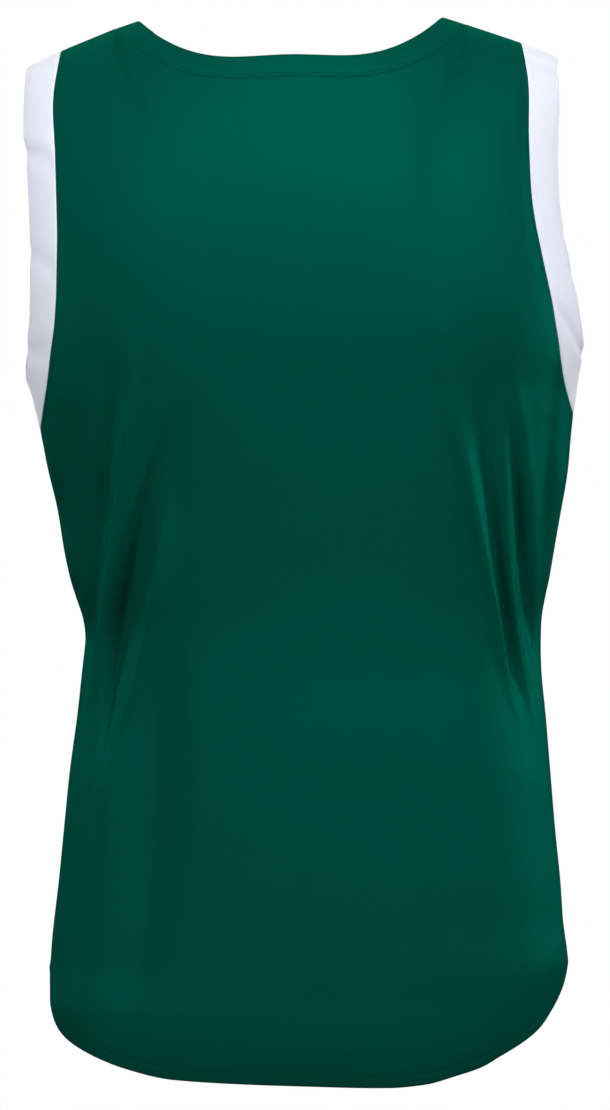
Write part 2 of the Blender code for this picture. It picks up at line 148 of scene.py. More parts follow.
# Torso form
SQUARENESS = 2.4                # exponent of a level ring: 2 is an ellipse, more is boxier
ARCH_SQUARENESS = 2.3           # the same for an arch over the shoulder
UNDERARM_LEFT = -0.289          # height of the armhole band's seam at the side seam
UNDERARM_RIGHT = -0.277
NECK_HALF_WIDTH = 0.123         # between the middle and a neck point, on the neck seam
NECK_POINT_LEFT = -0.008        # height of the shoulder ridge at the neck seam
NECK_POINT_RIGHT = -0.005
SHOULDER_END_LEFT = -0.0235     # height of the ridge at the armhole band's seam
SHOULDER_END_RIGHT = -0.0175
NECK_RISE = 0.043               # height that the ridge would reach in the middle, past the neck points
NECK_RISE_ROUND = 1.2           # exponent of that dome
BACK_NECK_DEPTH = 0.742         # how far the neck seam goes back and forward, of the ring's depth
FRONT_NECK_DEPTH = 0.905
NECK_ROUND = 3.0                # exponent of the neck seam's oval, seen from above
SHOULDER_SEAM = 0.1             # how far the shoulder seam lies forward of the ridge, of the ring's depth
SIDE_ANGLE = math.pi / 2        # ring angle of a side seam, from the middle of a panel

# Level rings, top to bottom: height, the two sides, and how deep the back and the front stand
SECTION_COLUMNS = "height left right back front"
SECTIONS = (
    (0.040, -0.207, 0.187, 0.115, 0.115),
    (-0.030, -0.207, 0.187, 0.117, 0.117),
    (-0.120, -0.206, 0.190, 0.126, 0.121),
    (-0.176, -0.205, 0.198, 0.127, 0.123),
    (-0.204, -0.2035, 0.2015, 0.125, 0.123),
    (-0.232, -0.2005, 0.1985, 0.122, 0.122),
    (-0.260, -0.1935, 0.1907, 0.118, 0.120),
    (-0.289, -0.1850, 0.1862, 0.113, 0.117),
    (-0.316, -0.1799, 0.1841, 0.107, 0.114),
    (-0.344, -0.1729, 0.1792, 0.102, 0.111),
    (-0.372, -0.1687, 0.1743, 0.097, 0.108),
    (-0.400, -0.1624, 0.1694, 0.093, 0.105),
    (-0.414, -0.1575, 0.1659, 0.091, 0.104),
    (-0.428, -0.1533, 0.1650, 0.090, 0.103),
    (-0.442, -0.1545, 0.1648, 0.090, 0.102),
    (-0.456, -0.1561, 0.1652, 0.091, 0.102),
    (-0.484, -0.1589, 0.1680, 0.093, 0.103),
    (-0.526, -0.1645, 0.1715, 0.097, 0.106),
    (-0.568, -0.1687, 0.1750, 0.100, 0.109),
    (-0.610, -0.1729, 0.1792, 0.103, 0.111),
    (-0.632, -0.1757, 0.1804, 0.105, 0.112),
    (-0.652, -0.1778, 0.1838, 0.106, 0.113),
    (-0.667, -0.1787, 0.1849, 0.107, 0.113),
    (-0.682, -0.1850, 0.1843, 0.108, 0.114),
    (-0.695, -0.1860, 0.1840, 0.109, 0.114),
    (-0.755, -0.1850, 0.1842, 0.110, 0.114),
)

# Armhole seam, from the underarm up: height above the underarm, distance out as a share of the ring
ARMHOLE_COLUMNS = "rise out"
ARMHOLE = (
    (0.000, 1.000),
    (0.004, 0.987),
    (0.016, 0.955),
    (0.030, 0.920),
    (0.045, 0.890),
    (0.072, 0.852),
    (0.100, 0.835),
    (0.140, 0.826),
    (0.190, 0.830),
    (0.225, 0.838),
    (0.262, 0.817),
)

# Armhole bands: share of the height of their seam, width, and how far they bend inwards over it
ARM_BAND_COLUMNS = "up width turn"
ARM_BANDS = (
    (0.00, 0.031, math.radians(1)),
    (0.30, 0.031, math.radians(20)),
    (0.85, 0.029, math.radians(20)),
    (1.00, 0.0275, math.radians(9)),
)

# Hem, from the left side seam to the right one: share of the panel, height on the back and the front
HEM_COLUMNS = "across back front"
HEM = (
    (-1.00, -0.6640, -0.6640),
    (-0.92, -0.6680, -0.6670),
    (-0.84, -0.6780, -0.6760),
    (-0.72, -0.7045, -0.7010),
    (-0.60, -0.7170, -0.7130),
    (-0.45, -0.7284, -0.7240),
    (-0.31, -0.7354, -0.7310),
    (0.00, -0.7390, -0.7350),
    (0.20, -0.7403, -0.7350),
    (0.29, -0.7384, -0.7325),
    (0.37, -0.7330, -0.7280),
    (0.44, -0.7277, -0.7232),
    (0.50, -0.7207, -0.7167),
    (0.66, -0.7034, -0.7000),
    (0.74, -0.6917, -0.6887),
    (0.85, -0.6760, -0.6742),
    (0.92, -0.6667, -0.6655),
    (1.00, -0.6605, -0.6605),
)

# Soft folds of each panel: sideways place at the top, middle and bottom, the heights that they run
# between, half the width, and how far the cloth stands out (below 0 it sinks in)
FOLD_COLUMNS = "top middle bottom upper lower width proud"
BACK_FOLDS = (
    (-0.1300, -0.1395, -0.1530, -0.240, -0.430, 0.010, -0.0072),
    (-0.0980, -0.1035, -0.1300, -0.330, -0.500, 0.007, 0.0055),
    (-0.1760, -0.1675, -0.1560, -0.295, -0.430, 0.010, -0.0070),
    (-0.1040, -0.1080, -0.1340, -0.405, -0.735, 0.022, -0.0120),
    (0.0950, 0.1060, 0.1200, -0.225, -0.430, 0.008, -0.0030),
    (0.1215, 0.1345, 0.1490, -0.255, -0.480, 0.0065, -0.0090),
    (0.1440, 0.1545, 0.1620, -0.280, -0.460, 0.0060, -0.0080),
    (0.1730, 0.1700, 0.1640, -0.240, -0.430, 0.010, -0.0050),
)
FRONT_FOLDS = (
    (-0.1320, -0.1390, -0.1520, -0.250, -0.430, 0.010, -0.0045),
    (-0.0800, -0.0880, -0.1140, -0.430, -0.715, 0.026, -0.0065),
    (0.1240, 0.1390, 0.1540, -0.270, -0.440, 0.009, -0.0050),
    (0.0660, 0.0820, 0.1160, -0.450, -0.715, 0.028, -0.0055),
    (0.1700, 0.1680, 0.1620, -0.280, -0.420, 0.010, -0.0055),
    (-0.1680, -0.1620, -0.1560, -0.290, -0.420, 0.010, -0.0055),
)
FOLD_EDGE_FADE = 0.014          # the folds run out over this width at the seams

# Crisp creases: their place and heights as above, how far the foot of the slope on each side lies from
# the crest, and how far the crest stands out
CREASE_COLUMNS = "top middle bottom upper lower left right proud"
BACK_CREASES = (
    (-0.1170, -0.1275, -0.1560, -0.205, -0.510, 0.018, 0.006, 0.0095),
    (-0.0780, -0.1280, -0.1400, -0.258, -0.540, 0.005, 0.021, -0.0150),
    (-0.0880, -0.0890, -0.0900, -0.270, -0.390, 0.006, 0.009, -0.0010),
    (-0.1480, -0.1435, -0.1455, -0.330, -0.445, 0.010, 0.010, 0.0030),
    (0.0900, 0.1165, 0.1515, -0.205, -0.505, 0.008, 0.009, 0.0092),
    (0.1290, 0.1403, 0.1635, -0.270, -0.505, 0.007, 0.010, 0.0082),
    (0.1420, 0.1545, 0.1615, -0.240, -0.430, 0.006, 0.012, 0.0045),
)
FRONT_CREASES = (
    (-0.1110, -0.1205, -0.1480, -0.225, -0.490, 0.014, 0.009, 0.0070),
    (-0.0790, -0.1160, -0.1480, -0.280, -0.530, 0.010, 0.020, -0.0095),
    (-0.1450, -0.1430, -0.1460, -0.325, -0.445, 0.010, 0.010, 0.0025),
    (0.0990, 0.1190, 0.1470, -0.232, -0.500, 0.010, 0.013, 0.0070),
    (0.1280, 0.1400, 0.1610, -0.290, -0.490, 0.008, 0.011, 0.0060),
    (0.0820, 0.1000, 0.1260, -0.330, -0.570, 0.018, 0.009, -0.0060),
)
CREST_ROUND = 0.15              # share of a crease's width over which its crest is rounded
FOOT_ROUND = 0.25               # and its foot
CREASE_FADE = 1.4               # how gently a crease starts and ends: 1 is as a fold does

# Broad soft forms of the cloth over the shoulder blades and at the hem, as the folds above
BACK_SWELLS = (
    (-0.1150, -0.1120, -0.1180, -0.024, -0.260, 0.030, 0.0055),
    (0.0900, 0.0900, 0.0960, -0.024, -0.215, 0.012, -0.0022),
    (0.1300, 0.1280, 0.1260, -0.024, -0.260, 0.034, 0.0055),
    (-0.1600, -0.1520, -0.1560, -0.270, -0.530, 0.030, -0.0070),
    (0.1560, 0.1500, 0.1560, -0.270, -0.530, 0.026, -0.0060),
    (0.0150, 0.0150, 0.0150, -0.260, -0.680, 0.090, 0.0080),
)
FRONT_SWELLS = (
    (-0.1150, -0.1100, -0.1150, -0.024, -0.250, 0.032, 0.0045),
    (0.1200, 0.1150, 0.1180, -0.024, -0.250, 0.034, 0.0045),
    (-0.1560, -0.1500, -0.1540, -0.270, -0.530, 0.030, -0.0060),
    (0.1560, 0.1500, 0.1560, -0.270, -0.530, 0.028, -0.0060),
)
HEM_CURL = 0.0100               # how far the hem hangs in
HEM_CURL_HEIGHT = 0.050         # and from which height above it

SIDE_SOFTENING = (-0.009, 0.0, 0.009)   # heights, off a ring's own, that its sides are averaged over
DEPTH_SOFTENING = (-0.036, -0.024, -0.012, 0.0, 0.012, 0.024, 0.036)    # and its depths

# The two panels: which way each faces along Y
BACK = -1
FRONT = 1

# Creases of the armhole bands: their height at the seam and at the free edge, half the width, and how
# far the cloth stands out
ARM_CREASE_COLUMNS = "panel at_seam at_edge width proud"
ARM_CREASES = {
    "left": (
        (BACK, -0.105, -0.088, 0.006, -0.0016), (BACK, -0.094, -0.077, 0.005, 0.0010),
        (BACK, -0.180, -0.166, 0.006, -0.0013), (BACK, -0.236, -0.248, 0.008, -0.0018),
        (FRONT, -0.120, -0.140, 0.006, -0.0014), (FRONT, -0.215, -0.196, 0.007, -0.0015),
    ),
    "right": (
        (BACK, -0.032, -0.030, 0.0035, -0.0010), (BACK, -0.043, -0.032, 0.0035, -0.0010),
        (BACK, -0.056, -0.036, 0.0040, -0.0010), (BACK, -0.123, -0.158, 0.006, -0.0014),
        (BACK, -0.157, -0.189, 0.006, -0.0014), (BACK, -0.195, -0.258, 0.008, -0.0020),
        (FRONT, -0.100, -0.124, 0.006, -0.0013), (FRONT, -0.205, -0.226, 0.007, -0.0015),
    ),
}
ARM_CREASE_FADE = 0.2           # share of the band's width over which they rise at the seam
FOLDS = {BACK: BACK_FOLDS + BACK_SWELLS, FRONT: FRONT_FOLDS + FRONT_SWELLS}
CREASES = {BACK: BACK_CREASES, FRONT: FRONT_CREASES}

# Mesh
NECK_COLUMNS = 188              # columns under the neck seam
SHOULDER_COLUMNS = 18           # columns under each shoulder seam, before the close ones at the edge
NECK_COLUMNS_SPAN = 0.72        # share of the lower body that the columns under the neck take
COLUMNS_CLOSE = 0.35            # from this share of the way up they close up towards the neck points
COLUMN_BUNCHING = 0.4           # share of the neck columns' spacing that narrows towards the sides
BODY_ROWS = 104                 # rows between the turned hem and the underarm
TOP_ROWS = 74                   # rows between the underarm and the top edge
ROW_BUNCHING = 1.6              # the rows above the underarm start this much closer together
SPREAD_TOP, SPREAD_BOTTOM = -0.080, -0.520   # the inner columns spread out between these heights
EDGE_HOLD = 6                   # how closely the outer columns keep to the armhole seam
SIDE_SPAN = 0.070               # cloth under a shoulder seam, from the neck point out
ARCH_SPAN = 0.290               # cloth from the underarm's level to the top edge
EDGE_STEPS = (0.0, 0.0010, 0.0018, 0.0026, 0.0032, 0.0040, 0.0054, 0.0074)   # rows close to a seam
HEM_STEPS = (0.0, 0.0018, 0.0028, 0.0042, 0.0058, 0.0072, 0.0080, 0.0086, 0.0092, 0.0100, 0.0112, 0.0130)
NECK_STEPS = (0.0, 0.0010, 0.0017, 0.0023, 0.0027, 0.0031, 0.0040, 0.0056, 0.0076, 0.0096, 0.0116, 0.0136,
              0.0150, 0.0175)
ARM_STEPS = (0.0, 0.0010, 0.0018, 0.0030, 0.0044, 0.0060, 0.0076, 0.0092, 0.0108, 0.0124, 0.0140, 0.0156,
             0.0172, 0.0188, 0.0204, 0.0220, 0.0236, 0.0250, 0.0262, 0.0272, 0.0280, 0.0288, 0.0310)
FORM_STEP = 1e-4                # step along the form for a normal
NEAR_SEAM = 0.015               # points this close to an armhole are measured from its seam
BODY_ROW = 0.0035               # distance between the rows below the underarm
SEAM_FINENESS = 6               # points measured to on each step of a seam
FAR = 1.0                       # the distance of a point that is nowhere near a seam
TINY = 1e-9                     # keeps a step of no length from dividing by nothing


def table(columns, rows):
    """A table as one array for each named column."""
    return dict(zip(columns.split(), np.array(rows, dtype=float).T))


def named(columns, rows):
    """The rows of a table, each with its values named after the columns."""
    return [namedtuple("Row", columns)(*row) for row in rows]


def smooth(heights, values, at):
    """Smooth curve through the given points that never overshoots them; past its ends it stays level."""
    order = np.argsort(heights)
    x, y = heights[order], values[order]
    step = np.diff(x)
    slope = np.diff(y) / step
    inner = np.zeros(len(x))
    turning = slope[:-1] * slope[1:] > 0
    first, second = slope[:-1][turning], slope[1:][turning]
    inner[1:-1][turning] = 2 * first * second / (first + second)
    inner[0], inner[-1] = slope[0], slope[-1]
    at = np.clip(at, x[0], x[-1])
    i = np.clip(np.searchsorted(x, at) - 1, 0, len(step) - 1)
    t = (at - x[i]) / step[i]
    return (
        (1 + 2 * t) * (1 - t) ** 2 * y[i]
        + t * (1 - t) ** 2 * step[i] * inner[i]
        + t**2 * (3 - 2 * t) * y[i + 1]
        + t**2 * (t - 1) * step[i] * inner[i + 1]
    )


def ease(t):
    """Smooth step from 0 to 1."""
    t = np.clip(t, 0.0, 1.0)
    return t * t * (3 - 2 * t)


def ring(angle, squareness=SQUARENESS):
    """Sideways and depthways shares of a ring's half sizes at an angle from the panel's middle."""
    sideways, depthways = np.sin(angle), np.cos(angle)
    reach = (np.abs(sideways) ** squareness + np.abs(depthways) ** squareness) ** (-1 / squareness)
    return reach * sideways, reach * depthways


def ring_angle(share, squareness=SQUARENESS):
    """Ring angle of a sideways share of the half width."""
    size = np.clip(np.abs(share), 0.0, 1.0)
    return np.sign(share) * np.arctan2(size, (1 - size**squareness) ** (1 / squareness))


SECTION = table(SECTION_COLUMNS, SECTIONS)
HEM_LINE = table(HEM_COLUMNS, HEM)
ARMHOLE_SEAM = table(ARMHOLE_COLUMNS, ARMHOLE)
ARM_BAND = table(ARM_BAND_COLUMNS, ARM_BANDS)
NECK_SHARE = NECK_HALF_WIDTH / ((SECTIONS[0][2] - SECTIONS[0][1]) / 2)
EDGE_ANGLE_TOP = ring_angle(ARMHOLE[-1][1])
NECK_ANGLE = ring_angle(NECK_SHARE)
NECK_ACROSS = NECK_ANGLE / EDGE_ANGLE_TOP


def section(height):
    """Middle, half width, and the back's and the front's depth of the ring at a height. Each is averaged
    over a stretch of height, so that the light runs down the cloth without steps."""
    near = {"left": SIDE_SOFTENING, "right": SIDE_SOFTENING,
            "back": DEPTH_SOFTENING, "front": DEPTH_SOFTENING}
    left, right, back, front = (
        np.mean([smooth(SECTION["height"], SECTION[name], height + step) for step in steps], axis=0)
        for name, steps in near.items()
    )
    return (left + right) / 2, (right - left) / 2, back, front


def between(across, left, right):
    """A value that goes from the left seam's to the right seam's."""
    return left + (right - left) * (across + 1) / 2


def ridge(angle):
    """Height of the shoulder ridge, which rises past the neck points as a low dome over the neck."""
    neck_point = between(angle / NECK_ANGLE, NECK_POINT_LEFT, NECK_POINT_RIGHT)
    neck_point = np.clip(neck_point, NECK_POINT_LEFT, NECK_POINT_RIGHT)
    end = np.where(angle < 0, SHOULDER_END_LEFT, SHOULDER_END_RIGHT)
    inward = np.abs(ring(angle)[0]) / NECK_SHARE
    outward = np.maximum(inward - 1, 0.0) / (ARMHOLE[-1][1] / NECK_SHARE - 1)
    over_neck = neck_point + NECK_RISE * np.maximum(1 - inward**2, 0.0) ** NECK_RISE_ROUND
    over_shoulder = neck_point + (end - neck_point) * outward
    return np.where(inward < 1, over_neck, over_shoulder)


def smooth_form(facing, angle, lift):
    """Points of the torso surface without folds. The lift is the height over the underarm while it is
    below 0, and above 0 it is the angle gone round the arch over the shoulder."""
    underarm = between(angle / SIDE_ANGLE, UNDERARM_LEFT, UNDERARM_RIGHT)
    forward, upward = ring(math.pi / 2 - np.maximum(lift, 0.0), ARCH_SQUARENESS)
    height = underarm + (ridge(angle) - underarm) * upward + np.minimum(lift, 0.0)
    middle, half_width, back, front = section(height)
    depth = back if facing == BACK else front
    sideways, depthways = ring(angle)
    across = middle + half_width * sideways
    return np.stack([across, facing * depth * depthways * forward, height], axis=-1)


def seam_angle(angle, height):
    """Ring angle of a panel's side: its side seam, and the armhole seam above the underarm."""
    underarm = between(angle / SIDE_ANGLE, UNDERARM_LEFT, UNDERARM_RIGHT)
    return ring_angle(smooth(ARMHOLE_SEAM["rise"], ARMHOLE_SEAM["out"], height - underarm))


def hem_height(facing, across):
    """Height of the hem at a share of the panel, from -1 at the left side seam to 1 at the right one."""
    return smooth(HEM_LINE["across"], HEM_LINE["back" if facing == BACK else "front"], across)


def fold_relief(facing, angle, height):
    """How far the folds move the cloth out of the smooth form."""
    middle, half_width, back, front = section(height)
    radius = np.sqrt((half_width**2 + (back if facing == BACK else front) ** 2) / 2)

    def run(line):
        """Distance sideways from a fold's line, and how strong the fold is at each height."""
        t = np.clip((line.upper - height) / (line.upper - line.lower), 0.0, 1.0)
        top, bottom = line.top * (1 - t) * (1 - 2 * t), line.bottom * t * (2 * t - 1)
        place = top + line.middle * 4 * t * (1 - t) + bottom
        return (angle - ring_angle((place - middle) / half_width)) * radius, np.sin(math.pi * t)

    relief = np.zeros_like(height)
    for fold in named(FOLD_COLUMNS, FOLDS[facing]):
        away, strength = run(fold)
        relief += fold.proud * strength * np.exp(-((away / fold.width) ** 2))
    for crease in named(CREASE_COLUMNS, CREASES[facing]):
        away, strength = run(crease)
        climb = 1 - np.hypot(away / np.where(away < 0, crease.left, crease.right), CREST_ROUND)
        relief += crease.proud * strength**CREASE_FADE * (climb + np.hypot(climb, FOOT_ROUND)) / 2
    relief *= ease((seam_angle(angle, height) - np.abs(angle)) * radius / FOLD_EDGE_FADE)
    above_hem = height - hem_height(facing, angle / SIDE_ANGLE)
    curl = np.clip(1 - above_hem / HEM_CURL_HEIGHT, 0.0, 1.0) ** 2
    return relief - HEM_CURL * curl * np.maximum(np.cos(angle), 0.0)


def unit(vectors):
    """The same vectors at length 1."""
    return vectors / np.linalg.norm(vectors, axis=-1, keepdims=True)


def outward_normals(form, facing, angle, lift):
    """Unit normals of a form, from small steps along it."""
    around = form(facing, angle + FORM_STEP, lift) - form(facing, angle - FORM_STEP, lift)
    up = form(facing, angle, lift + FORM_STEP) - form(facing, angle, lift - FORM_STEP)
    return unit(np.cross(around, up)) * -facing


def folded_form(facing, angle, lift):
    """Points of the torso surface with its folds."""
    points = smooth_form(facing, angle, lift)
    relief = fold_relief(facing, angle, points[..., 2])
    return points + outward_normals(smooth_form, facing, angle, lift) * relief[..., None]


def columns(facing):
    """The columns of a panel: where each lies on the lower body, from -1 at the left side to 1 at the
    right one, where it meets the top edge, how far round the arch that is, and how many lie outside
    the neck seam on each side."""
    depth = BACK_NECK_DEPTH if facing == BACK else FRONT_NECK_DEPTH
    even = np.linspace(-1, 1, NECK_COLUMNS + 1)
    sideways, depthways = ring(even * math.pi / 2, NECK_ROUND)
    under_neck = (1 - COLUMN_BUNCHING) * even + COLUMN_BUNCHING * np.sin(even * math.pi / 2)
    neck = ring_angle(sideways * NECK_SHARE) / EDGE_ANGLE_TOP
    close = 1 - np.array(EDGE_STEPS[::-1]) / SIDE_SPAN
    out = np.concatenate([np.linspace(0, close[0], SHOULDER_COLUMNS + 1)[1:-1], close])
    lower = NECK_COLUMNS_SPAN + (1 - NECK_COLUMNS_SPAN) * out
    shoulder = NECK_ACROSS + (1 - NECK_ACROSS) * out
    low = np.concatenate([-lower[::-1], NECK_COLUMNS_SPAN * under_neck, lower])
    top = np.concatenate([-shoulder[::-1], neck, shoulder])
    reach = np.full(len(top), SHOULDER_SEAM * facing)
    reach[len(out):-len(out)] += (depth - SHOULDER_SEAM * facing) * np.maximum(depthways, 0)
    return low, top, math.pi / 2 - ring_angle(reach, ARCH_SQUARENESS), len(out)


def panel_grid(facing, low, top, top_lift):
    """Ring angles and lifts of a panel's points, rows upwards."""
    hem = hem_height(facing, low)
    underarm = between(low, UNDERARM_LEFT, UNDERARM_RIGHT)
    turned = np.array(HEM_STEPS)[:-1, None] + hem
    above_hem = hem + HEM_STEPS[-1]
    body = above_hem + (underarm - above_hem) * np.linspace(0, 1, BODY_ROWS + 1)[:, None]
    close = 1 - np.array(EDGE_STEPS[::-1]) / ARCH_SPAN
    share = np.linspace(0, 1, TOP_ROWS + 1)[1:-1] ** ROW_BUNCHING * close[0]
    share = np.concatenate([share, close])[:, None]
    upward = ring(math.pi / 2 - top_lift * share, ARCH_SQUARENESS)[1]
    shoulder = underarm + (ridge(top * EDGE_ANGLE_TOP) - underarm) * upward
    below = np.vstack([turned, body])
    height = np.vstack([below, shoulder])
    closing = ease((share - COLUMNS_CLOSE) / (1 - COLUMNS_CLOSE))
    across = np.vstack([np.broadcast_to(low, below.shape), low + (top - low) * closing])
    spread = ease((height - SPREAD_BOTTOM) / (SPREAD_TOP - SPREAD_BOTTOM))
    inner = SIDE_ANGLE + (EDGE_ANGLE_TOP - SIDE_ANGLE) * spread
    edge = seam_angle(low * SIDE_ANGLE, height)
    angle = across * (inner + (edge - inner) * np.abs(across) ** EDGE_HOLD)
    return angle, np.vstack([below - underarm, top_lift * share])


def lengths(points, axis):
    """Distance along a grid's rows or columns from their first point."""
    steps = np.linalg.norm(np.diff(points, axis=axis), axis=-1)
    return np.concatenate([np.zeros_like(steps.take([0], axis)), np.cumsum(steps, axis)], axis)


def dip(distance, depth, width):
    """A soft groove at distance 0."""
    return -depth * np.exp(-((distance / width) ** 2))


class Panel:
    """Front or back panel: its outer points, normals and cloth sizes, rows upwards, -X to +X."""

    def __init__(self, facing):
        low, top, top_lift, beside = columns(facing)
        angle, lift = panel_grid(facing, low, top, top_lift)
        points = folded_form(facing, angle, lift)
        self.normals = outward_normals(folded_form, facing, angle, lift)
        self.points = points
        self.underarm = len(HEM_STEPS) - 1 + BODY_ROWS
        last = points.shape[1] - 1
        self.neck = slice(beside, last - beside + 1)
        self.shoulders = np.r_[0 : beside + 1, last - beside : last + 1]
        across, up = lengths(points, 1), lengths(points, 0)
        middle = across[:, last // 2, None]
        self.uv = np.stack([across - middle, up - up[self.underarm]], axis=-1)
        self.from_sides = np.minimum(across, across[:, -1:] - across)
        self.from_top = up[-1:] - up
        self.from_hem = up
        self.pulls = np.where(up == 0, FREE_PULL, SEAM_PULL)

    def find_armholes(self, seams):
        """Distance of the points near an armhole from its seam."""
        self.from_armhole = np.full(self.from_sides.shape, FAR)
        near = self.from_sides < NEAR_SEAM
        near[: self.underarm - int(NEAR_SEAM / BODY_ROW)] = False
        for seam in seams:
            tree = KDTree(len(seam) * SEAM_FINENESS)
            ends = np.roll(seam, -1, axis=0)
            for part in range(SEAM_FINENESS):
                for i, point in enumerate(seam + (ends - seam) * part / SEAM_FINENESS):
                    tree.insert(point, part * len(seam) + i)
            tree.balance()
            found = [tree.find(point)[2] for point in self.points[near]]
            self.from_armhole[near] = np.minimum(self.from_armhole[near], found)

    def grids(self):
        """Outer and inner points of the wall, half an overlap long at the side and shoulder seams."""
        below = np.arange(len(self.points))[:, None] <= self.underarm
        side = np.where(below, self.from_sides, FAR)
        seam = np.minimum(side, np.minimum(self.from_armhole, self.from_top))
        relief = dip(seam, SEAM_DIP, SEAM_DIP_WIDTH)
        relief += dip(self.from_armhole - TOPSTITCH, STITCH_DIP, STITCH_DIP_WIDTH)
        relief += dip(self.from_hem - HEM_STITCH, STITCH_DIP, STITCH_DIP_WIDTH)
        turned = 1 - ease((self.from_hem - HEM_TURN) / (HEM_STEPS[-1] - HEM_TURN))
        cloth = CLOTH + (HEM_CLOTH - CLOTH) * turned
        outer = self.points + self.normals * relief[..., None]
        inner = self.points - self.normals * cloth[..., None]
        side_rows = slice(0, self.underarm + 1)
        for grid in (outer, inner):
            for edge, beside in ((0, 1), (-1, -2)):
                inward = unit(grid[side_rows, beside] - grid[side_rows, edge])
                grid[side_rows, edge] -= inward * SEAM_OVERLAP / 2
            drop = unit(grid[-2, self.shoulders] - grid[-1, self.shoulders])
            grid[-1, self.shoulders] -= drop * SEAM_OVERLAP / 2
        return outer, inner


def armhole_loop(back, front, column):
    """Seam points, normals and inward neighbours round one armhole: up the back, down the front."""
    beside = 1 if column == 0 else -2
    up = slice(back.underarm, len(back.points))
    down = slice(len(front.points) - 2, front.underarm, -1)
    seam = np.vstack([back.points[up, column], front.points[down, column]])
    normals = np.vstack([back.normals[up, column], front.normals[down, column]])
    inside = np.vstack([back.points[up, beside], front.points[down, beside]])
    inside[0] = seam[0] - (0, 0, CLOTH)
    return seam, normals, inside


def neck_loop(back, front):
    """Seam points, normals and neighbours below round the neck: along the back, back along the front."""
    front_neck = np.arange(front.neck.stop - 2, front.neck.start, -1)
    seam = np.vstack([back.points[-1, back.neck], front.points[-1, front_neck]])
    normals = np.vstack([back.normals[-1, back.neck], front.normals[-1, front_neck]])
    below = np.vstack([back.points[-2, back.neck], front.points[-2, front_neck]])
    return seam, normals, below


class Band:
    """A band that runs on from a seam and bends inwards by a turn: outer points, normals and sizes."""

    def __init__(self, loop, width, turn, steps, relief):
        seam, normals, inside = loop
        ahead = unit(np.roll(seam, -1, axis=0) - seam)
        along = unit(ahead + np.roll(ahead, 1, axis=0))
        outward = unit(np.cross(normals, along))
        outward *= -np.sign(np.sum(outward * (inside - seam), axis=-1, keepdims=True))
        radius = (width / turn)[:, None]
        rows, facings = [], []
        for share in np.array(steps) / steps[-1]:
            sine, cosine = np.sin(turn * share)[:, None], np.cos(turn * share)[:, None]
            rows.append(seam + outward * (radius * sine - SEAM_OVERLAP) - normals * radius * (1 - cosine))
            facings.append(normals * cosine + outward * sine)
        self.points, self.normals = np.array(rows), np.array(facings)
        self.from_seam = lengths(self.points, 0)
        self.from_edge = self.from_seam[-1:] - self.from_seam
        self.pulls = np.where(self.from_edge == 0, FREE_PULL, SEAM_PULL)
        around = np.broadcast_to(lengths(seam, 0), self.from_seam.shape)
        self.uv = np.stack([around, self.from_seam], axis=-1)
        self.relief = relief(self)

    def grids(self, cloth):
        """Outer and inner points of the wall."""
        relief = self.relief + dip(self.from_seam, SEAM_DIP, SEAM_DIP_WIDTH)
        outer = self.points + self.normals * relief[..., None]
        return outer, outer - self.normals * (cloth + np.minimum(relief, 0))[..., None]


def neck_relief(band):
    """The row of stitches on the neck band."""
    return dip(band.from_seam - NECK_STITCH, STITCH_DIP, STITCH_DIP_WIDTH)


def arm_relief(side):
    """The creases of an armhole band, and the row of stitches at its edge."""

    def relief(band):
        across = band.from_seam / band.from_seam[-1:]
        height, facing = band.points[0][:, 2], np.sign(band.points[0][:, 1])
        moved = dip(band.from_edge - ARM_EDGE_STITCH, STITCH_DIP, STITCH_DIP_WIDTH)
        for crease in named(ARM_CREASE_COLUMNS, ARM_CREASES[side]):
            away = height - (crease.at_seam + (crease.at_edge - crease.at_seam) * across)
            rise = np.exp(-((away / crease.width) ** 2)) * ease(across / ARM_CREASE_FADE)
            moved += crease.proud * (facing == crease.panel) * rise
        return moved

    return relief


def rim_line(shape, closed):
    """Index pairs round the edge of a grid, each with the pair just inside it."""
    rows, count = shape
    if closed:
        around = np.arange(count)
        return [
            (np.stack([np.full(count, row), around], 1), np.stack([np.full(count, inside), around], 1))
            for row, inside in ((0, 1), (rows - 1, rows - 2))
        ]
    edge = [(0, c) for c in range(count)] + [(r, count - 1) for r in range(1, rows)]
    edge += [(rows - 1, c) for c in range(count - 2, -1, -1)] + [(r, 0) for r in range(rows - 2, 0, -1)]
    edge = np.array(edge)
    return [(edge, np.clip(edge, 1, np.array(shape) - 2))]


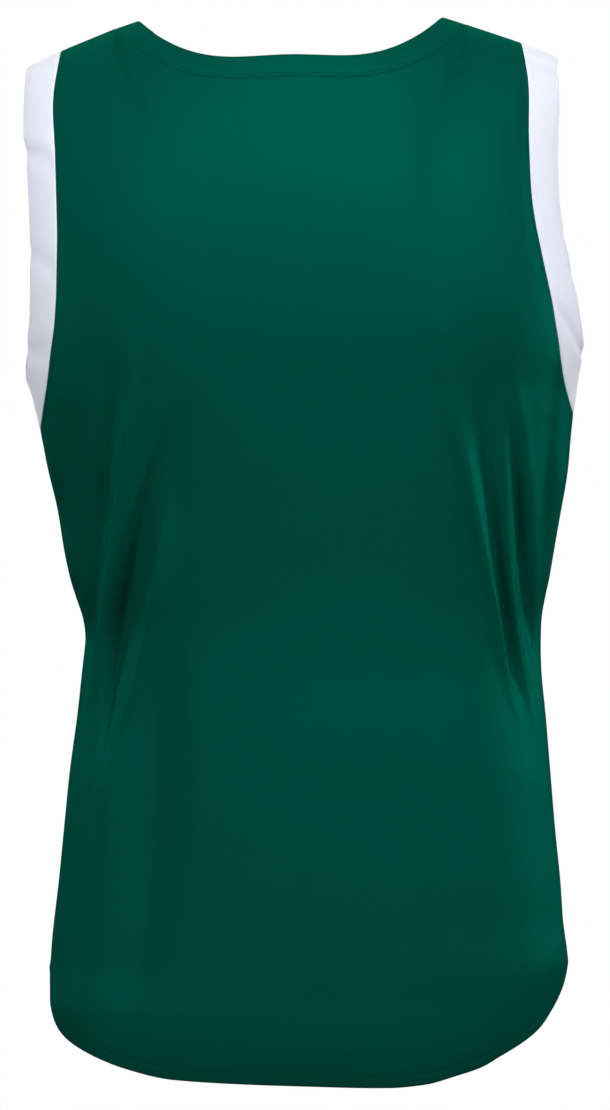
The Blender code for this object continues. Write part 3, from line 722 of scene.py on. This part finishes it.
def shell(name, outer, inner, uv, pulls, closed, material):
    """A closed wall of cloth between two grids of points, its edges rounded by their pulls. The points
    are the outer grid's, the inner grid's, and then the rings that round each edge."""
    outer, inner = outer.copy(), inner.copy()
    rows, count = outer.shape[:2]
    size = rows * count
    index = np.arange(size).reshape(rows, count)
    beside = np.roll(index, -1, axis=1) if closed else index[:, 1:]
    here = index if closed else index[:, :-1]
    quads = np.stack([here[:-1], beside[:-1], beside[1:], here[1:]], axis=-1).reshape(-1, 4)
    faces = [quads, quads[:, ::-1] + size]
    rims = []
    for edge, inside in rim_line((rows, count), closed):
        e, i = tuple(edge.T), tuple(inside.T)
        middle = (outer[e] + inner[e]) / 2
        away = unit(middle - (outer[i] + inner[i]) / 2)
        half = np.linalg.norm(outer[e] - inner[e], axis=-1, keepdims=True) / 2
        pull = np.minimum(half, pulls[e][:, None])
        outer[e] -= away * pull
        inner[e] -= away * pull
        middle = (outer[e] + inner[e]) / 2
        rims.append((e, middle, (outer[e] - inner[e]) / 2, away * pull))
    points = [outer.reshape(-1, 3), inner.reshape(-1, 3)]
    uvs = [uv.reshape(-1, 2)] * 2
    base = 2 * size
    for e, middle, half, bulge in rims:
        rings = [index[e]]
        for turn in RIM_TURNS:
            points.append(middle + half * math.cos(turn) + bulge * math.sin(turn))
            uvs.append(uv[e])
            rings.append(base + np.arange(len(middle)))
            base += len(middle)
        rings.append(index[e] + size)
        for a, b in zip(rings, rings[1:]):
            faces.append(np.stack([a, b, np.roll(b, -1), np.roll(a, -1)], axis=-1))
    data = bpy.data.meshes.new(name)
    data.from_pydata(np.vstack(points).tolist(), [], np.vstack(faces).tolist())
    layer = data.uv_layers.new(name="cloth")
    corner = np.empty(len(data.loops), dtype=np.int32)
    data.loops.foreach_get("vertex_index", corner)
    layer.data.foreach_set("uv", np.vstack(uvs)[corner].astype(np.float32).ravel())
    return finished(name, data, material)


def finished(name, data, material):
    """The mesh as a smooth-shaded piece that rides on the root body, its faces turned outwards."""
    mesh = bmesh.new()
    mesh.from_mesh(data)
    bmesh.ops.recalc_face_normals(mesh, faces=mesh.faces)
    mesh.to_mesh(data)
    mesh.free()
    data.shade_smooth()
    data.materials.append(material)
    piece = bpy.data.objects.new(name, data)
    bpy.context.scene.collection.objects.link(piece)
    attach(piece, "root")
    return piece


def line_at(grid, distance, wanted, axis):
    """Points of a grid where a distance that grows along an axis reaches a wanted value."""
    grid, distance = np.moveaxis(grid, axis, 0), np.moveaxis(distance, axis, 0)
    after = np.clip(np.argmax(distance >= wanted, axis=0), 1, len(distance) - 1)
    lane = np.arange(grid.shape[1])
    low, high = distance[after - 1, lane], distance[after, lane]
    t = ((wanted - low) / np.maximum(high - low, TINY))[:, None]
    return grid[after - 1, lane] * (1 - t) + grid[after, lane] * t


def stitch_row(line, normals, closed):
    """Points of the stitches along one line, as stitch, ring of the stitch and side of the ring."""
    if closed:
        line, normals = np.vstack([line, line[:1]]), np.vstack([normals, normals[:1]])
    at = lengths(line, 0)
    count = int(at[-1] / STITCH_PITCH)
    middle = (np.arange(count) + 0.5) * at[-1] / count

    def followed(values, where):
        """Values of the line at distances along it."""
        return np.stack([np.interp(where, at, values[:, k]) for k in range(3)], axis=-1)

    shape = table(STITCH_COLUMNS, STITCH_SHAPE)
    spine = [followed(line, middle + along * STITCH_LENGTH / 2) for along in shape["along"]]
    up = unit(followed(normals, middle))
    side = unit(np.cross(up, spine[-1] - spine[0]))
    points = []
    for place, wide, high in zip(spine, shape["wide"], shape["high"]):
        for turn in 2 * math.pi * np.arange(STITCH_SIDES) / STITCH_SIDES:
            offset = side * math.cos(turn) * wide * STITCH_WIDTH / 2
            lift = up * (high * STITCH_HEIGHT + math.sin(turn) * wide * STITCH_HEIGHT / 2)
            points.append(place + offset + lift)
    return np.stack(points, axis=1).reshape(-1, 3)


def stitches(name, lines, material):
    """Rows of short raised stitches along lines of points and normals, joined in one piece."""
    points = np.vstack([stitch_row(*line) for line in lines])
    rings = len(STITCH_SHAPE)
    index = np.arange(len(points)).reshape(-1, rings, STITCH_SIDES)
    beside = np.roll(index, -1, axis=2)
    quads = np.stack([index[:, :-1], beside[:, :-1], beside[:, 1:], index[:, 1:]], axis=-1)
    data = bpy.data.meshes.new(name)
    data.from_pydata(points.tolist(), [], quads.reshape(-1, 4).tolist())
    return finished(name, data, material)


def node(tree, kind, *inputs, **settings):
    """A shader node; the inputs are sockets to link or plain values."""
    made = tree.nodes.new(kind)
    for key, value in settings.items():
        setattr(made, key, value)
    for socket, value in zip(made.inputs, inputs):
        if isinstance(value, bpy.types.NodeSocket):
            tree.links.new(value, socket)
        elif value is not None:
            socket.default_value = value
    return made


def reckon(tree, operation, *inputs):
    """The result of one math node."""
    return node(tree, "ShaderNodeMath", *inputs, operation=operation).outputs[0]


def noise(tree, scale, detail):
    """Noise fixed to the piece, for each of its points."""
    place = node(tree, "ShaderNodeTexCoord").outputs["Object"]
    made = node(tree, "ShaderNodeTexNoise", place)
    made.inputs["Scale"].default_value = scale
    made.inputs["Detail"].default_value = detail
    return made.outputs[0]


def blend(tree, factor, low, high):
    """A colour between two others."""
    mix = tree.nodes.new("ShaderNodeMix")
    mix.data_type = "RGBA"
    tree.links.new(factor, mix.inputs["Factor"])
    mix.inputs["A"].default_value = (*low, 1.0)
    mix.inputs["B"].default_value = (*high, 1.0)
    return mix.outputs["Result"]


def plain_material(name, settings):
    """A material with one shader, set on its own sockets."""
    material = bpy.data.materials.new(name)
    material.use_nodes = True
    shader = material.node_tree.nodes["Principled BSDF"]
    for key, value in settings.items():
        shader.inputs[key].default_value = value
    return material, material.node_tree, shader


def cloth_material(name, dark, light, settings):
    """Knit cloth: rows of small loops that follow the cloth, and a faint unevenness of colour."""
    material, tree, shader = plain_material(name, settings)
    clouds = noise(tree, CLOUD_SCALE, CLOUD_DETAIL)
    grain = noise(tree, GRAIN_SCALE, GRAIN_DETAIL)
    uneven = reckon(tree, "ADD", reckon(tree, "MULTIPLY", clouds, CLOUD_COLOUR),
                    reckon(tree, "MULTIPLY", grain, GRAIN_COLOUR))
    tree.links.new(blend(tree, uneven, dark, light), shader.inputs["Base Color"])
    cloth = node(tree, "ShaderNodeSeparateXYZ", node(tree, "ShaderNodeUVMap", uv_map="cloth").outputs[0])
    wale = reckon(tree, "DIVIDE", cloth.outputs[0], WALE)
    slant = reckon(tree, "ABSOLUTE", reckon(tree, "SUBTRACT", reckon(tree, "FRACT", wale), 0.5))
    course = reckon(tree, "ADD", reckon(tree, "DIVIDE", cloth.outputs[1], COURSE), slant)
    rib = reckon(tree, "SINE", reckon(tree, "MULTIPLY", wale, 2 * math.pi))
    loop = reckon(tree, "SINE", reckon(tree, "MULTIPLY", course, 2 * math.pi))
    height = reckon(tree, "ADD", reckon(tree, "MULTIPLY", rib, RIB_SHARE),
                    reckon(tree, "MULTIPLY", loop, LOOP_SHARE))
    height = reckon(tree, "ADD", height, reckon(tree, "MULTIPLY", grain, GRAIN_SHARE))
    bump = tree.nodes.new("ShaderNodeBump")
    bump.inputs["Strength"].default_value = 1.0
    bump.inputs["Distance"].default_value = KNIT_DEPTH
    tree.links.new(height, bump.inputs["Height"])
    tree.links.new(bump.outputs["Normal"], shader.inputs["Normal"])
    return material


def thread_material(name, dark, light):
    """Sewing thread, a little uneven in colour."""
    material, tree, shader = plain_material(name, THREAD_FINISH)
    twist = noise(tree, THREAD_SCALE, GRAIN_DETAIL)
    tree.links.new(blend(tree, twist, dark, light), shader.inputs["Base Color"])
    return material


def area_light(light):
    """A soft light aimed at a point. It may leave no gloss, and may fall on the armhole bands only."""
    lamp = bpy.data.lights.new(light.name, "AREA")
    lamp.shape = "RECTANGLE"
    lamp.size, lamp.size_y, lamp.energy = light.width, light.height, light.power
    holder = bpy.data.objects.new(light.name, lamp)
    holder.visible_glossy = light.glossy
    if light.falls_on != ALL:
        receivers = bpy.data.collections.new(light.name + "_receivers")
        for piece in [o for o in bpy.data.objects if o.name.startswith(light.falls_on)]:
            receivers.objects.link(piece)
        holder.light_linking.receiver_collection = receivers
    bpy.context.scene.collection.objects.link(holder)
    holder.location = light.place
    holder.rotation_euler = (Vector(light.aim) - Vector(light.place)).to_track_quat("-Z", "Y").to_euler()


def pale_floor():
    """A plain floor below the held garment, which throws no light up at the hem."""
    turns = 2 * math.pi * np.arange(FLOOR_SIDES) / FLOOR_SIDES
    rim = [(FLOOR_RADIUS * math.cos(a), FLOOR_RADIUS * math.sin(a), FLOOR_HEIGHT) for a in turns]
    data = bpy.data.meshes.new("floor")
    data.from_pydata(rim, [], [list(range(FLOOR_SIDES))])
    data.materials.append(plain_material("pale_floor", FLOOR_FINISH)[0])
    floor = bpy.data.objects.new("floor", data)
    floor.visible_diffuse = floor.visible_glossy = False
    bpy.context.scene.collection.objects.link(floor)


def surroundings():
    """White surroundings, which light the garment faintly and a little more from above."""
    world = bpy.data.worlds.new("studio")
    bpy.context.scene.world = world
    world.use_nodes = True
    tree = world.node_tree
    lit = tree.nodes["Background"]
    lit.inputs["Color"].default_value = WHITE
    direction = node(tree, "ShaderNodeTexCoord").outputs["Generated"]
    upward = node(tree, "ShaderNodeSeparateXYZ", direction).outputs[2]
    rise = node(tree, "ShaderNodeMapRange", upward, WORLD_BOTTOM, WORLD_TOP, WORLD_LOW, WORLD_HIGH)
    tree.links.new(rise.outputs[0], lit.inputs["Strength"])
    seen = tree.nodes.new("ShaderNodeBackground")
    seen.inputs["Color"].default_value = WHITE
    seen.inputs["Strength"].default_value = 1.0
    mix = tree.nodes.new("ShaderNodeMixShader")
    tree.links.new(tree.nodes.new("ShaderNodeLightPath").outputs["Is Camera Ray"], mix.inputs[0])
    tree.links.new(lit.outputs[0], mix.inputs[1])
    tree.links.new(seen.outputs[0], mix.inputs[2])
    tree.links.new(mix.outputs[0], tree.nodes["World Output"].inputs["Surface"])


def camera_behind():
    """The camera, level behind the garment, with the photograph's frame."""
    lens = bpy.data.cameras.new("camera")
    lens.sensor_width = CAMERA_FILM
    lens.lens = CAMERA_FILM * CAMERA_DISTANCE / VIEW_HEIGHT
    camera = bpy.data.objects.new("camera", lens)
    bpy.context.scene.collection.objects.link(camera)
    camera.location = (0.0, -CAMERA_DISTANCE, VIEW_MIDDLE)
    camera.rotation_euler = (math.pi / 2, 0.0, 0.0)
    bpy.context.scene.camera = camera


def studio():
    """Floor, surroundings, soft lights and camera."""
    pale_floor()
    surroundings()
    for light in named(LIGHT_COLUMNS, LIGHTS):
        area_light(light)
    camera_behind()
    bpy.context.scene.view_settings.view_transform = "Standard"


def main():
    green = cloth_material("green_knit", GREEN_DARK, GREEN_LIGHT, GREEN_FINISH)
    white = cloth_material("white_knit", WHITE_DARK, WHITE_LIGHT, WHITE_FINISH)
    green_thread = thread_material("green_thread", GREEN_THREAD_DARK, GREEN_THREAD_LIGHT)
    white_thread = thread_material("white_thread", WHITE_DARK, WHITE_LIGHT)
    back, front = Panel(BACK), Panel(FRONT)
    loops = {"left": armhole_loop(back, front, 0), "right": armhole_loop(back, front, -1)}
    for panel in (back, front):
        panel.find_armholes([loop[0] for loop in loops.values()])
    hem_lines = []
    for panel, name, flat, area in ((back, "back", *BACK_CUT), (front, "front", *FRONT_CUT)):
        outer, inner = panel.grids()
        piece = shell(name + "_cloth", outer, inner, panel.uv, panel.pulls, False, green)
        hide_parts(name + "_panel")
        line = line_at(outer, panel.from_hem, HEM_STITCH, 0)
        hem_lines.append((line, line_at(panel.normals, panel.from_hem, HEM_STITCH, 0), False))
    stitches("hem_stitches", hem_lines, green_thread)

    loop = neck_loop(back, front)
    even = np.ones(len(loop[0]))
    neck = Band(loop, NECK_BAND * even, NECK_BAND_TURN * even, NECK_STEPS, neck_relief)
    outer, inner = neck.grids(NECK_CLOTH)
    piece = shell("neck_band_cloth", outer, inner, neck.uv, neck.pulls, True, green)
    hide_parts("neck_band")
    line = line_at(outer, neck.from_seam, NECK_STITCH, 0)
    row = (line, line_at(neck.normals, neck.from_seam, NECK_STITCH, 0), True)
    stitches("neck_stitches", [row], green_thread)

    for side, loop in loops.items():
        heights = loop[0][:, 2]
        up = (heights - heights.min()) / np.ptp(heights)
        width, turn = (smooth(ARM_BAND["up"], ARM_BAND[name], up) for name in ("width", "turn"))
        band = Band(loop, width, turn, ARM_STEPS, arm_relief(side))
        outer, inner = band.grids(ARM_CLOTH)
        piece = shell("armhole_band_cloth_" + side, outer, inner, band.uv, band.pulls, True, white)
        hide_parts("armhole_band_" + side)
        edge = line_at(outer[::-1], band.from_edge[::-1], ARM_EDGE_STITCH, 0)
        facing = line_at(band.normals[::-1], band.from_edge[::-1], ARM_EDGE_STITCH, 0)
        stitches("armhole_edge_stitches_" + side, [(edge, facing, True)], white_thread)
        inward = unit(band.points[0] - band.points[1])
        line = loop[0] + inward * TOPSTITCH - loop[1] * STITCH_DIP
        stitches("armhole_stitches_" + side, [(line, loop[1], True)], green_thread)
    studio()


main()
bpy.context.view_layer.update()
